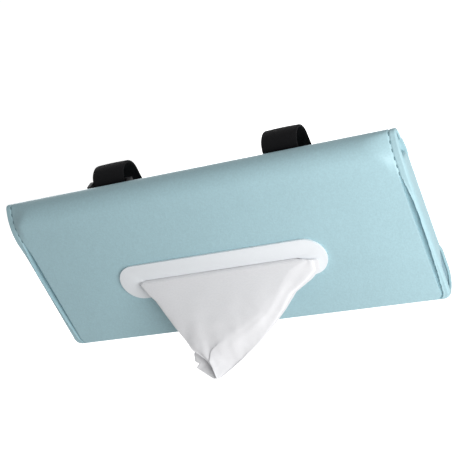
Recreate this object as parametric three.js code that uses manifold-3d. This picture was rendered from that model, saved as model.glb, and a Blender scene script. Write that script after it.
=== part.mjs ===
// A flat tissue case that hangs overhead in a car: board panels covered in pale blue imitation leather,
// a white outlet with a drawn tissue, a closing flap at the foot and two elastic straps behind.
// Millimetres, +Z up, front towards -Y. The origin is the middle of the case's back.
import * as THREE from 'three';
import { mergeVertices } from 'three/addons/utils/BufferGeometryUtils.js';
import Module from 'manifold-3d';

const wasm = await Module();
wasm.setup();

// The case
const caseWidth = 235;
const caseHeight = 99;
const caseDepth = 13.4;
const frontRollRadius = 10.6;
const backSeamDrop = 7;
const seamAllowance = 3.2;
const backEdgeSetIn = 0.5;

// The sheets that a panel is made of, and the gaps that touching pieces keep
const skinThickness = 0.9;
const boardThickness = 1.1;
const liningThickness = 0.3;
const bondGap = 0.1;
const looseGap = 0.3;
const boardSideMargin = 7;
const boardFootMargin = 2.6;
const backFootMargin = 9.8;
const cutOverrun = 5;

// The side gussets
const gussetThickness = 0.8;
const gussetTopDrop = 13;
const gussetFoot = 4;
const gussetSlantTop = 27;
const gussetFootDepth = 3.4;
const grooveFoot = 8;
const grooveTopDrop = 14;
const grooveWidth = 3;

// The closing flap
const hingeReach = 0.5;
const flapRollRadius = 9.5;
const lapTop = 28;
const lapGap = 0.2;
const lapBoardThickness = 0.8;
const lapBoardMargin = 1.6;
const flapLiningStart = 2.4;

// The magnets in the flap and the steel discs in the back
const magnetRadius = 6;
const magnetThickness = 0.8;
const magnetClearance = 0.3;
const magnetSetIn = 37.5;
const magnetHeight = 18;

// The outlet
const bezelLength = 127.4;
const bezelHeight = 23.1;
const bezelThickness = 1.2;
const bezelRounding = 0.35;
const outletShift = -1.6;
const outletHeight = 40;
const slotLength = 100;
const slotHeight = 7.2;
const slotDrop = 2.8;
const collarWall = 1.2;
const collarClearance = 0.3;
const retainerRim = 6;
const retainerThickness = 1;

// The straps with their anchors and sliders
const strapWidth = 20;
const strapThickness = 1.4;
const strapSetIn = 65;
const strapBendRadius = 9.3;
const strapTopDrop = 4.4;
const strapFootRise = 8.3;
const strapStandOff = 1.6;
const anchorWidth = 28;
const anchorFootRise = 10;
const anchorTopDrop = 37;
const sliderWidth = 27;
const sliderHeight = 8;
const sliderBar = 2.2;
const sliderFrameThickness = 1.2;
const sliderFrontBarThickness = 1;
const sliderBendRoom = 1.4;
const leftSliderDrop = 5.1;
const rightSliderDrop = 16;
const leftSliderTilt = THREE.MathUtils.degToRad(3);

// The tissues
const stackSideRoom = 20;
const stackHeadRoom = 15;
const stackFoot = 4;
const tissueThickness = 0.8;
const neckWidth = 94;
const neckLead = 0.9;
const tuftBendRadius = 1.8;
const tuftDroop = THREE.MathUtils.degToRad(53.5);
const tuftLength = 59;
const tuftHalfWidth = 55;
const tuftTipHalfWidth = 4;
const tuftStartShift = 4.5;
const tuftTipShift = -11.5;
const tuftOpeningShare = 0.06;
const rightFoldDepth = 13;
const rightFoldDrawIn = 0.45;
const leftFoldDepth = 3;
const valleyDepth = 2.2;

// Places that follow from the sizes
const halfWidth = caseWidth / 2;
const seamX = halfWidth - seamAllowance;
const gussetTop = caseHeight - gussetTopDrop;
const grooveTop = caseHeight - grooveTopDrop;
const magnetX = halfWidth - magnetSetIn;
const strapX = halfWidth - strapSetIn;
const strapTopBend = caseHeight - strapTopDrop;
const strapFootBend = lapTop + strapFootRise;
const anchorFoot = lapTop + anchorFootRise;
const anchorTop = caseHeight - anchorTopDrop;
const stackHalfWidth = halfWidth - stackSideRoom;
const stackTop = caseHeight - stackHeadRoom;
const backHalfWidth = halfWidth - backEdgeSetIn;
const backRollRadius = caseDepth - frontRollRadius;
const rollStart = caseHeight - frontRollRadius;
const backRollStart = caseHeight - backRollRadius;
const backSeam = caseHeight - backSeamDrop;
const boardHalfWidth = halfWidth - boardSideMargin;
const hingeAxis = skinThickness / 2;
const frontBoardFace = skinThickness + bondGap;
const frontLiningFace = frontBoardFace + boardThickness + bondGap;
const frontInside = frontLiningFace + liningThickness;
const backBoardFace = caseDepth - skinThickness - bondGap - boardThickness;
const backInside = backBoardFace - bondGap - liningThickness;
const slotZ = outletHeight - slotDrop;
const retainerFace = frontInside + bondGap;
const collarEnd = retainerFace + retainerThickness;
const lapInside = caseDepth + lapGap;
const lapBoardFace = lapInside + liningThickness + bondGap;
const flapDepth = lapBoardFace + lapBoardThickness + bondGap + skinThickness;
const strapFace = caseDepth + strapStandOff;
const visorFaceHeight = caseHeight / 2;

const finish = (color, roughness, metalness = 0) =>
  new THREE.MeshStandardMaterial({ color, roughness, metalness });

const leather = () => finish(0xa9cad4, 0.55);
const board = () => finish(0x8f8578, 0.9);
const lining = () => finish(0x9fb4bb, 0.95);
const whitePlastic = () => finish(0xeaf0f4, 0.35);
const steel = () => finish(0x9a9da0, 0.4, 0.9);
const magnet = () => finish(0x77797c, 0.35, 0.9);
const elastic = () => finish(0x141414, 0.9);
const blackPlastic = () => finish(0x1b1b1c, 0.5);
const tissuePaper = () => finish(0xf1f1f4, 0.95);

// A geometry made a solid for cutting and joining.
function solidOf(geometry) {
  const bare = geometry.clone();
  bare.deleteAttribute('normal');
  bare.deleteAttribute('uv');
  const merged = mergeVertices(bare);
  const triVerts = Uint32Array.from(merged.index.array);
  const vertProperties = Float32Array.from(merged.attributes.position.array);
  return new wasm.Manifold(new wasm.Mesh({ numProp: 3, vertProperties, triVerts }));
}

function geometryOf(solid) {
  const { vertProperties, triVerts } = solid.getMesh();
  const geometry = new THREE.BufferGeometry();
  geometry.setAttribute('position', new THREE.BufferAttribute(vertProperties, 3));
  geometry.setIndex(new THREE.BufferAttribute(triVerts, 1));
  geometry.computeVertexNormals();
  return geometry;
}

function cut(geometry, ...cutters) {
  return geometryOf(cutters.reduce((rest, cutter) => rest.subtract(solidOf(cutter)), solidOf(geometry)));
}

function join(geometry, ...others) {
  return geometryOf(others.reduce((whole, other) => whole.add(solidOf(other)), solidOf(geometry)));
}

// A side outline in Y and Z, drawn out along X.
function extrudeAlongX(points, fromX, toX) {
  const shape = new THREE.Shape(points);
  const geometry = new THREE.ExtrudeGeometry(shape, { depth: toX - fromX, bevelEnabled: false });
  geometry.applyMatrix4(new THREE.Matrix4().set(0, 0, 1, fromX, 1, 0, 0, 0, 0, 1, 0, 0, 0, 0, 0, 1));
  return geometry;
}

// A front outline in X and Z, drawn out along Y.
function extrudeAlongY(shape, fromY, toY) {
  const geometry = new THREE.ExtrudeGeometry(shape, {
    depth: toY - fromY,
    bevelEnabled: false,
    curveSegments: 10,
  });
  geometry.applyMatrix4(new THREE.Matrix4().set(1, 0, 0, 0, 0, 0, -1, toY, 0, 1, 0, 0, 0, 0, 0, 1));
  return geometry;
}

function block(fromX, toX, fromY, toY, fromZ, toZ) {
  const geometry = new THREE.BoxGeometry(toX - fromX, toY - fromY, toZ - fromZ);
  geometry.translate((fromX + toX) / 2, (fromY + toY) / 2, (fromZ + toZ) / 2);
  return geometry;
}

function disc(radius, fromY, toY, x, z) {
  const geometry = new THREE.CylinderGeometry(radius, radius, toY - fromY, 28);
  geometry.translate(x, (fromY + toY) / 2, z);
  return geometry;
}

function arc(centreY, centreZ, radius, fromDegrees, toDegrees, steps) {
  return Array.from({ length: steps + 1 }, (_, step) => {
    const degrees = fromDegrees + ((toDegrees - fromDegrees) * step) / steps;
    const angle = THREE.MathUtils.degToRad(degrees);
    return new THREE.Vector2(centreY + radius * Math.cos(angle), centreZ + radius * Math.sin(angle));
  });
}

const at = (y, z) => new THREE.Vector2(y, z);

// A bar with round ends, level, about its middle.
function stadium(length, height, x, z) {
  const radius = height / 2;
  const reach = length / 2 - radius;
  const shape = new THREE.Shape();
  shape.absarc(x + reach, z, radius, -Math.PI / 2, Math.PI / 2);
  shape.absarc(x - reach, z, radius, Math.PI / 2, (Math.PI * 3) / 2);
  shape.closePath();
  return shape;
}

const grownSlot = (growth) =>
  stadium(slotLength + 2 * growth, slotHeight + 2 * growth, outletShift, slotZ);

const slotCutter = (growth) => extrudeAlongY(grownSlot(growth), -cutOverrun, caseDepth);

const holder = new THREE.Group();
const bench = new THREE.Group();
bench.position.set(0, -caseDepth, -visorFaceHeight);
holder.add(bench);

function place(name, geometry, material, parent = bench) {
  const mesh = new THREE.Mesh(geometry, material);
  mesh.name = name;
  parent.add(mesh);
  return mesh;
}

// The front sheet rises from the foot, rolls back over the top and ends in a seam on the back.
function frontCoverPath(inset) {
  return [
    at(inset, hingeAxis + hingeReach),
    ...arc(frontRollRadius, rollStart, frontRollRadius - inset, 180, 90, 14),
    ...arc(frontRollRadius, backRollStart, backRollRadius - inset, 90, 0, 8).slice(1),
    at(caseDepth - inset, backSeam),
  ];
}

// The edge of the front sheet is drawn in between the head and foot of each side groove.
function grooveCutter(side) {
  const middle = (grooveTop + grooveFoot) / 2;
  const halfSpan = (grooveTop - grooveFoot) / 2;
  const shape = new THREE.Shape();
  const steps = 16;
  shape.moveTo(side * (halfWidth + cutOverrun), grooveFoot);
  for (let step = 0; step <= steps; step += 1) {
    const share = (2 * step) / steps - 1;
    const depth = grooveWidth * (1 - share ** 4);
    shape.lineTo(side * (halfWidth - depth), middle + halfSpan * share);
  }
  shape.lineTo(side * (halfWidth + cutOverrun), grooveTop);
  return extrudeAlongY(shape, -cutOverrun, skinThickness + bondGap / 2);
}

function frontCover() {
  const outline = [...frontCoverPath(0), ...frontCoverPath(skinThickness).reverse()];
  const sheet = extrudeAlongX(outline, -halfWidth, halfWidth);
  return cut(sheet, slotCutter(collarWall + collarClearance), grooveCutter(-1), grooveCutter(1));
}

place('front_cover', frontCover(), leather());

// The flat layers behind the front sheet, each with a hole for the outlet's collar.
function frontLayer(face, thickness) {
  const slab = block(-boardHalfWidth, boardHalfWidth, face, face + thickness, boardFootMargin, rollStart);
  return cut(slab, slotCutter(collarWall + collarClearance));
}

place('front_board', frontLayer(frontBoardFace, boardThickness), board());
place('front_lining', frontLayer(frontLiningFace, liningThickness), lining());

// The back panel
const backTop = backSeam - looseGap;
const magnetPlaces = { left: -magnetX, right: magnetX };

// The panel's middle, between the straps and above the lap, is a face of its own.
function backCover() {
  const strapOuter = strapX + anchorWidth / 2;
  const strapInner = strapX - anchorWidth / 2;
  const columns = [-backHalfWidth, -strapOuter, -strapInner, strapInner, strapOuter, backHalfWidth];
  const rows = [backFootMargin, lapTop + looseGap, backTop];
  const lastColumn = columns.length - 1;
  const lastRow = rows.length - 1;
  const geometry = new THREE.BoxGeometry(lastColumn, skinThickness, lastRow, lastColumn, 1, lastRow);
  const positions = geometry.attributes.position;
  for (let index = 0; index < positions.count; index += 1) {
    const column = Math.round(positions.getX(index) + lastColumn / 2);
    const row = Math.round(positions.getZ(index) + lastRow / 2);
    positions.setX(index, columns[column]);
    positions.setZ(index, rows[row]);
  }
  geometry.translate(0, caseDepth - skinThickness / 2, 0);
  return geometry;
}

function backBoard() {
  const slab = block(
    -boardHalfWidth, boardHalfWidth, backBoardFace, backBoardFace + boardThickness, backFootMargin, backTop,
  );
  const pockets = Object.values(magnetPlaces).map((x) =>
    disc(magnetRadius + magnetClearance, backInside, caseDepth, x, magnetHeight));
  return cut(slab, ...pockets);
}

place('back_cover', backCover(), leather());
place('back_board', backBoard(), board());
place(
  'back_lining',
  block(-boardHalfWidth, boardHalfWidth, backInside, backInside + liningThickness, backFootMargin, backTop),
  lining(),
);
for (const [side, x] of Object.entries(magnetPlaces)) {
  const outerFace = backBoardFace + boardThickness;
  const plate = disc(magnetRadius, outerFace - magnetThickness, outerFace, x, magnetHeight);
  place(`${side}_back_steel_disc`, plate, steel());
}

// A gusset is one folded strip. Its section runs from behind the front sheet's edge, down into the
// groove, out over a ridge and back along the side wall to behind the back sheet's edge.
// Across, 0 is the seam and 1 the outer face; in depth, 0 is the front tuck and 1 the back tuck.
const gussetAcrossShares = [-0.95, 0.02, 0.2, 0.62, 0.83, 0.875, 0.8, 0.55, -0.95];
const gussetDepthShares = [0, 0, 0.24, 0.1, 0.16, 0.55, 0.9, 1, 1];

function gussetDepthAt(z) {
  const frontTuck = skinThickness + bondGap + gussetThickness / 2;
  const backTuck = caseDepth - frontTuck;
  const share = Math.min(1, Math.max(0, (gussetSlantTop - z) / (gussetSlantTop - gussetFoot)));
  const slant = 1 - Math.sqrt(1 - share * share);
  return { frontTuck, depth: THREE.MathUtils.lerp(backTuck - frontTuck, gussetFootDepth, slant) };
}

// A line moved sideways by a distance, with its corners mitred.
function offsetLine(points, distance) {
  return points.map((point, index) => {
    const before = points[Math.max(0, index - 1)];
    const after = points[Math.min(points.length - 1, index + 1)];
    const inward = point.clone().sub(before).normalize();
    const onward = after.clone().sub(point).normalize();
    const first = index === 0 ? onward : inward;
    const second = index === points.length - 1 ? inward : onward;
    const normal = at(-first.y - second.y, first.x + second.x).normalize();
    const stretch = Math.max(0.5, normal.dot(at(-first.y, first.x)));
    return point.clone().addScaledVector(normal, distance / stretch);
  });
}

// A skin over rings of points of equal count, closed by a fan of strips at both ends.
function loft(rings, capPairs) {
  const count = rings[0].length;
  const geometry = new THREE.BufferGeometry();
  geometry.setAttribute('position', new THREE.Float32BufferAttribute(rings.flat(2), 3));
  const faces = [];
  for (let ring = 0; ring < rings.length - 1; ring += 1) {
    for (let index = 0; index < count; index += 1) {
      const next = (index + 1) % count;
      const here = ring * count;
      const above = here + count;
      faces.push(here + index, here + next, above + next, here + index, above + next, above + index);
    }
  }
  const last = (rings.length - 1) * count;
  for (const [a, b, c, d] of capPairs) {
    faces.push(a, d, c, a, c, b, last + a, last + b, last + c, last + a, last + c, last + d);
  }
  geometry.setIndex(faces);
  return outward(geometry);
}

// Turns a closed skin's faces outwards.
function outward(geometry) {
  const positions = geometry.attributes.position;
  const faces = geometry.index.array;
  const [a, b, c] = [new THREE.Vector3(), new THREE.Vector3(), new THREE.Vector3()];
  let volume = 0;
  for (let face = 0; face < faces.length; face += 3) {
    a.fromBufferAttribute(positions, faces[face]);
    b.fromBufferAttribute(positions, faces[face + 1]);
    c.fromBufferAttribute(positions, faces[face + 2]);
    volume += a.dot(b.cross(c));
  }
  if (volume < 0) {
    for (let face = 0; face < faces.length; face += 3) {
      [faces[face + 1], faces[face + 2]] = [faces[face + 2], faces[face + 1]];
    }
  }
  geometry.computeVertexNormals();
  return geometry;
}

function gusset(side) {
  const heights = [gussetFoot];
  const slantSteps = 8;
  for (let step = 1; step <= slantSteps; step += 1) {
    heights.push(THREE.MathUtils.lerp(gussetFoot, gussetSlantTop, (step / slantSteps) ** 1.6));
  }
  heights.push(gussetTop);
  const rings = heights.map((z) => {
    const { frontTuck, depth } = gussetDepthAt(z);
    const line = gussetAcrossShares.map((share, index) =>
      at(seamX + share * seamAllowance, frontTuck + gussetDepthShares[index] * depth));
    const outer = offsetLine(line, -gussetThickness / 2);
    const inner = offsetLine(line, gussetThickness / 2).reverse();
    return [...outer, ...inner].map((point) => [side * point.x, point.y, z]);
  });
  const count = gussetAcrossShares.length;
  const caps = [];
  for (let index = 0; index < count - 1; index += 1) {
    caps.push([index, index + 1, 2 * count - 2 - index, 2 * count - 1 - index]);
  }
  return loft(rings, caps);
}

place('left_gusset', gusset(-1), leather());
place('right_gusset', gusset(1), leather());

// The closing flap: a foot wall, a roll round the lower back edge, and a lap held by two magnets.
function flapPath(inset, startY) {
  const rollCentre = flapDepth - flapRollRadius;
  return [
    at(startY, inset),
    ...arc(rollCentre, flapRollRadius, flapRollRadius - inset, 270, 360, 12),
    at(flapDepth - inset, lapTop),
  ];
}

function flapSheet(nearInset, farInset, startY, margin) {
  const outline = [...flapPath(nearInset, startY), ...flapPath(farInset, startY).reverse()];
  return extrudeAlongX(outline, -backHalfWidth + margin, backHalfWidth - margin);
}

function lapBoard() {
  const slab = block(
    -boardHalfWidth, boardHalfWidth, lapBoardFace, lapBoardFace + lapBoardThickness,
    flapRollRadius + lapBoardMargin, lapTop - lapBoardMargin,
  );
  const pockets = Object.values(magnetPlaces).map((x) =>
    disc(magnetRadius + magnetClearance, caseDepth, flapDepth, x, magnetHeight));
  return cut(slab, ...pockets);
}

place('flap_cover', flapSheet(0, skinThickness, hingeAxis + hingeReach, 0), leather());
place('flap_board', lapBoard(), board());
place(
  'flap_lining',
  flapSheet(flapDepth - lapBoardFace + bondGap, flapDepth - lapInside, flapLiningStart, lapBoardMargin),
  lining(),
);
for (const [side, x] of Object.entries(magnetPlaces)) {
  const outerFace = lapBoardFace + lapBoardThickness;
  const plate = disc(magnetRadius, outerFace - magnetThickness, outerFace, x, magnetHeight);
  place(`${side}_flap_magnet`, plate, magnet());
}

// The outlet: a white frame with a collar through the front, and a ring pressed on behind.
function bezel() {
  const rim = stadium(
    bezelLength - 2 * bezelRounding, bezelHeight - 2 * bezelRounding, outletShift, outletHeight,
  );
  const plate = new THREE.ExtrudeGeometry(rim, {
    depth: bezelThickness - bezelRounding,
    bevelThickness: bezelRounding,
    bevelSize: bezelRounding,
    bevelSegments: 2,
    curveSegments: 12,
  });
  const back = -bondGap - bezelRounding;
  plate.applyMatrix4(new THREE.Matrix4().set(1, 0, 0, 0, 0, 0, -1, back, 0, 1, 0, 0, 0, 0, 0, 1));
  const flatBack = cut(plate, extrudeAlongY(
    stadium(bezelLength + cutOverrun, bezelHeight + cutOverrun, outletShift, outletHeight),
    -bondGap, cutOverrun,
  ));
  const collar = extrudeAlongY(grownSlot(collarWall), -bezelThickness / 2, collarEnd);
  return cut(join(flatBack, collar), slotCutter(0));
}

function retainer() {
  const growth = collarWall + collarClearance;
  const ring = extrudeAlongY(grownSlot(growth + retainerRim), retainerFace, collarEnd);
  return cut(ring, slotCutter(growth));
}

place('outlet_bezel', bezel(), whitePlastic());
place('outlet_retainer', retainer(), whitePlastic());

// The straps: closed elastic loops, sewn to an anchor patch on the back, which hold the case up.
function strapLoop(x) {
  const loop = (inset) => {
    const centre = strapFace + strapBendRadius;
    const shape = new THREE.Path();
    shape.setFromPoints([
      ...arc(centre, strapTopBend, strapBendRadius - inset, 0, 180, 18),
      ...arc(centre, strapFootBend, strapBendRadius - inset, 180, 360, 18),
    ]);
    return shape;
  };
  const shape = new THREE.Shape(loop(0).getPoints());
  shape.holes.push(loop(strapThickness));
  const geometry = new THREE.ExtrudeGeometry(shape, { depth: strapWidth, bevelEnabled: false });
  const left = x - strapWidth / 2;
  geometry.applyMatrix4(new THREE.Matrix4().set(0, 0, 1, left, 1, 0, 0, 0, 0, 1, 0, 0, 0, 0, 0, 1));
  return geometry;
}

// A slider is a frame behind the strap, with one bar in front of it, held at both sides.
function strapSlider() {
  const half = sliderWidth / 2;
  const slotHalf = half - sliderBar;
  const tall = sliderHeight / 2;
  const frameFace = strapThickness + sliderBendRoom;
  const rear = frameFace + sliderFrameThickness;
  const front = -looseGap - sliderFrontBarThickness;
  const frame = block(-half, half, frameFace, rear, -tall, tall);
  const window = block(-slotHalf, slotHalf, frameFace - cutOverrun, rear + cutOverrun, sliderBar / 2 - tall,
    tall - sliderBar / 2);
  const rearBar = block(-half, half, frameFace, rear, tall - sliderBar, tall);
  const footBar = block(-half, half, frameFace, rear, -tall, sliderBar - tall);
  const posts = [-1, 1].map((side) =>
    block(Math.min(side * half, side * slotHalf), Math.max(side * half, side * slotHalf), front, rear, -tall,
      tall));
  const frontBar = block(-half, half, front, -looseGap, -sliderBar / 2, sliderBar / 2);
  return join(cut(frame, window), rearBar, footBar, ...posts, frontBar);
}

const sliders = {
  left: { x: -strapX, height: caseHeight - leftSliderDrop, tilt: leftSliderTilt },
  right: { x: strapX, height: caseHeight - rightSliderDrop, tilt: 0 },
};

for (const [side, { x, height, tilt }] of Object.entries(sliders)) {
  place(
    `${side}_strap_anchor`,
    block(
      x - anchorWidth / 2, x + anchorWidth / 2, caseDepth + bondGap, strapFace - looseGap / 2, anchorFoot,
      anchorTop,
    ),
    leather(),
  );
  place(`${side}_strap`, strapLoop(x), elastic());
  const slider = place(`${side}_strap_slider`, strapSlider(), blackPlastic());
  slider.position.set(x, strapFace, height);
  slider.rotation.y = tilt;
}

// The tissues: a folded pack, and the sheet that is drawn out of the slot and hangs as a tuft.
const stackFace = collarEnd + looseGap;
place(
  'tissue_stack',
  block(-stackHalfWidth, stackHalfWidth, stackFace, backInside - looseGap, stackFoot, stackTop),
  tissuePaper(),
);

const neckZ = slotZ + slotHeight / 2 - looseGap - tissueThickness / 2;
const neckStart = stackFace - looseGap;
const neckEnd = -bondGap - bezelThickness - neckLead;
const neckLength = neckStart - neckEnd;

// The middle line of the drawn tissue: straight out of the slot, round a bend, then down and forwards.
function tissueSpine(along) {
  const bendLength = tuftBendRadius * tuftDroop;
  if (along <= neckLength) {
    return { y: neckStart - along, z: neckZ, turn: 0 };
  }
  const turn = Math.min(tuftDroop, (along - neckLength) / tuftBendRadius);
  const straight = Math.max(0, along - neckLength - bendLength);
  return {
    y: neckEnd - tuftBendRadius * Math.sin(turn) - straight * Math.cos(tuftDroop),
    z: neckZ - tuftBendRadius * (1 - Math.cos(turn)) - straight * Math.sin(tuftDroop),
    turn,
  };
}

// Across, 0 is the left edge and 1 the right; the layer is 1 for the upper face and -1 for the lower.
function tissuePoint(across, along, layer) {
  const share = Math.max(0, (along - neckLength) / tuftLength);
  const opening = Math.min(1, share / tuftOpeningShare);
  const taperedHalf = THREE.MathUtils.lerp(tuftHalfWidth, tuftTipHalfWidth, share ** 1.1);
  const half = THREE.MathUtils.lerp(neckWidth / 2, taperedHalf, opening);
  const shift = opening * THREE.MathUtils.lerp(tuftStartShift, tuftTipShift, share ** 1.6);
  const { y, z, turn } = tissueSpine(along);
  const { rightFold, depth } = tissueFolds(across, share);
  const lift = (layer * tissueThickness) / 2 - depth;
  return [
    outletShift + shift + half * (2 * across - 1) - rightFoldDrawIn * rightFold,
    y - lift * Math.sin(turn),
    z + lift * Math.cos(turn),
  ];
}

// The folds of the tuft: a broad flat front with a shallow valley in it, a deep fold that turns
// back along the right edge and a small one along the left. They die out at the slot and the tip.
function tissueFolds(across, share) {
  const flatShare = 0.62;
  const leftShare = 0.16;
  const fullness = Math.sin(Math.PI * share) ** 1.5;
  const rightFold = fullness * rightFoldDepth * Math.max(0, (across - flatShare) / (1 - flatShare)) ** 2;
  const leftFold = fullness * leftFoldDepth * Math.max(0, 1 - across / leftShare) ** 2;
  const valley = fullness * valleyDepth * Math.sin(Math.PI * Math.min(1, across / flatShare)) ** 2;
  return { rightFold, depth: rightFold + leftFold + valley };
}

function drawnTissue() {
  const columns = 24;
  const rows = [0, neckLength];
  const tuftRows = 16;
  for (let row = 1; row <= tuftRows; row += 1) {
    rows.push(neckLength + tuftLength * (row / tuftRows) ** 1.3);
  }
  const rings = rows.map((along) => {
    const upper = [];
    const lower = [];
    for (let column = 0; column <= columns; column += 1) {
      upper.push(tissuePoint(column / columns, along, 1));
      lower.unshift(tissuePoint(column / columns, along, -1));
    }
    return [...upper, ...lower];
  });
  const count = columns + 1;
  const caps = [];
  for (let index = 0; index < columns; index += 1) {
    caps.push([index, index + 1, 2 * count - 2 - index, 2 * count - 1 - index]);
  }
  return loft(rings, caps);
}

place('drawn_tissue', drawnTissue(), tissuePaper());

export default holder;
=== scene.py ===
"""A flat tissue case that hangs overhead in a car, in pale blue imitation leather."""
import math

import bpy
from mathutils import Matrix, Vector, noise as relief


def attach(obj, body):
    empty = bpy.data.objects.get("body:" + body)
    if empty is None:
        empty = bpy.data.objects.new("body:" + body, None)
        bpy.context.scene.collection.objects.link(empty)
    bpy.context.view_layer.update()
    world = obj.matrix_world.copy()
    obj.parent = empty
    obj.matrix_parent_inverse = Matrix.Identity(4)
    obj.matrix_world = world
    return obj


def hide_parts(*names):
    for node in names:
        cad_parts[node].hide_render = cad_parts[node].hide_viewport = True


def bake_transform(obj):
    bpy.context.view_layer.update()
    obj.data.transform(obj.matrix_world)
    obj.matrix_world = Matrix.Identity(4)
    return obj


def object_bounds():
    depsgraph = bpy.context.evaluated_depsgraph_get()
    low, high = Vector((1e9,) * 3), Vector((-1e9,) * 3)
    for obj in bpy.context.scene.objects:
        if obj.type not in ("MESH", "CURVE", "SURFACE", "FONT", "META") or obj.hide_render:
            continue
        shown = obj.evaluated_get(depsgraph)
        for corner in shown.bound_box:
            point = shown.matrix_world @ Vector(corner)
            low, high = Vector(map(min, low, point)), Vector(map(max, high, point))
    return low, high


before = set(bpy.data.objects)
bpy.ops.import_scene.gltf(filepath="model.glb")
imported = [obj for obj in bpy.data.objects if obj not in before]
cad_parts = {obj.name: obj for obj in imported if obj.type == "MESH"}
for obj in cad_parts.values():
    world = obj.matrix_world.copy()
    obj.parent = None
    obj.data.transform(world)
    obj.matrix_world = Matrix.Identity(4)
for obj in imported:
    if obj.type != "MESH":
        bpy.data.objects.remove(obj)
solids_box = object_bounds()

# The room: a wide pale floor far below, because the case hangs and stands on nothing. One soft lamp
# is near at the right, a second one lights the back, and a pale sky all round fills the shade. The
# camera's place and directions were fitted to the case's outline in the photograph.
mm = 0.001
floor_drop = 360 * mm
pale = (0.93, 0.93, 0.93, 1)


def new_material(name):
    """A material with its nodes, its links and its one shader."""
    material = bpy.data.materials.new(name)
    material.use_nodes = True
    nodes = material.node_tree.nodes
    return material, nodes, material.node_tree.links, nodes["Principled BSDF"]


def seen_directly(nodes, links):
    """A socket that is 1 for rays that reach the background as a picture, and 0 for its light."""
    path = nodes.new("ShaderNodeLightPath")
    total = path.outputs["Is Camera Ray"]
    for ray in ("Is Glossy Ray", "Is Transmission Ray"):
        both = nodes.new("ShaderNodeMath")
        both.operation = "MAXIMUM"
        links.new(total, both.inputs[0])
        links.new(path.outputs[ray], both.inputs[1])
        total = both.outputs[0]
    return total


def lit_floor():
    material, nodes, links, shader = new_material("pale_floor")
    shader.inputs["Base Color"].default_value = pale
    shader.inputs["Roughness"].default_value = 0.9
    shader.inputs["Emission Color"].default_value = (1, 1, 1, 1)
    glow = 0.72
    share = nodes.new("ShaderNodeMath")
    share.operation = "MULTIPLY"
    share.inputs[1].default_value = glow
    links.new(seen_directly(nodes, links), share.inputs[0])
    links.new(share.outputs[0], shader.inputs["Emission Strength"])
    return material


def pale_sky(fill_strength):
    world = bpy.data.worlds.new("pale_sky")
    bpy.context.scene.world = world
    world.use_nodes = True
    nodes = world.node_tree.nodes
    links = world.node_tree.links
    mix = nodes.new("ShaderNodeMix")
    mix.inputs["A"].default_value = fill_strength
    mix.inputs["B"].default_value = 1
    links.new(seen_directly(nodes, links), mix.inputs["Factor"])
    links.new(mix.outputs["Result"], nodes["Background"].inputs["Strength"])
    nodes["Background"].inputs["Color"].default_value = (1, 1, 1, 1)


def soft_lamp(name, direction, distance, size, power):
    lamp = bpy.data.lights.new(name, "AREA")
    lamp.size = size
    lamp.energy = power
    holder = bpy.data.objects.new(name, lamp)
    holder.location = Vector(direction).normalized() * distance
    holder.rotation_euler = Vector(direction).to_track_quat("Z", "Y").to_euler()
    holder.visible_camera = False
    bpy.context.collection.objects.link(holder)


bpy.ops.mesh.primitive_plane_add(size=14, location=(0, 0, solids_box[0][2] - floor_drop))
floor = bpy.context.object
floor.name = "floor"
floor.data.materials.append(lit_floor())
pale_sky(fill_strength=0.32)
soft_lamp("window_light", (0.76, -0.60, 0.10), distance=0.46, size=0.26, power=1.8)
soft_lamp("back_light", (-0.5, 0.85, 0.1), distance=1.1, size=0.7, power=5.5)

camera = bpy.data.cameras.new("camera")
camera.sensor_width = 36
camera.lens = 82
viewer = bpy.data.objects.new("camera", camera)
bpy.context.collection.objects.link(viewer)
bpy.context.scene.camera = viewer
picture_right = Vector((0.88784, 0.27614, -0.36809))
picture_up = Vector((0.14642, 0.58881, 0.79490))
towards_viewer = Vector((0.43624, -0.75964, 0.48234))
turn = Matrix((picture_right, picture_up, towards_viewer)).transposed().to_4x4()
viewer_place = Vector((265.6, -447.8, 286.7)) * mm
viewer.matrix_world = Matrix.Translation(viewer_place) @ turn
bpy.context.scene.view_settings.view_transform = "Standard"

# The front sheet: one piece of imitation leather over a board. It rises from the foot, rolls back
# over the top and is sewn down on the back. Outside the seam up each side lie a groove and a narrow
# ridge. The head leans over to the left, and both ends of its roll are pinched flat.
case_height = 99
case_depth = 13.4
front_roll_radius = 10.6
back_roll_radius = case_depth - front_roll_radius
skin = 0.9
seam_x = 113.9
margin_half = 117.8
lean_start = 66
lean_end = 96
corner_radius = 4.5
fold_radius = 0.95
hole_length = 103
hole_height = 10.2
hole_x = -1.6
hole_z = 37.2
leather_blue = (0.405, 0.600, 0.655)


def spot(x, y, z):
    """A place in millimetres from the case's middle, front face and foot, as one in metres."""
    return Vector((x, y - case_depth, z - case_height / 2)) * mm


def deselect_all():
    if bpy.context.mode != "OBJECT":
        bpy.ops.object.mode_set(mode="OBJECT")
    bpy.ops.object.select_all(action="DESELECT")


def grid_piece(name, columns, rows, spot_at):
    """A grid of faces whose corner in a column and row goes to spot_at(column, row)."""
    deselect_all()
    bpy.ops.mesh.primitive_grid_add(x_subdivisions=columns, y_subdivisions=rows, size=1)
    piece = bpy.context.object
    piece.name = name
    piece.data.name = name
    for corner in piece.data.vertices:
        column = round((corner.co.x + 0.5) * columns)
        row = round((corner.co.y + 0.5) * rows)
        corner.co = spot_at(column, row)
    return piece


def finish_with(piece, kind, **settings):
    """Adds a modifier to a piece and applies it."""
    deselect_all()
    piece.select_set(True)
    bpy.context.view_layer.objects.active = piece
    modifier = piece.modifiers.new(kind.lower(), kind)
    for setting, value in settings.items():
        setattr(modifier, setting, value)
    bpy.ops.object.modifier_apply(modifier=modifier.name)


def bevelled(piece, width, segments, degrees):
    """Rounds a piece's edges that turn by more than an angle."""
    finish_with(piece, "BEVEL", width=width * mm, segments=segments, limit_method="ANGLE",
                angle_limit=math.radians(degrees))


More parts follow.
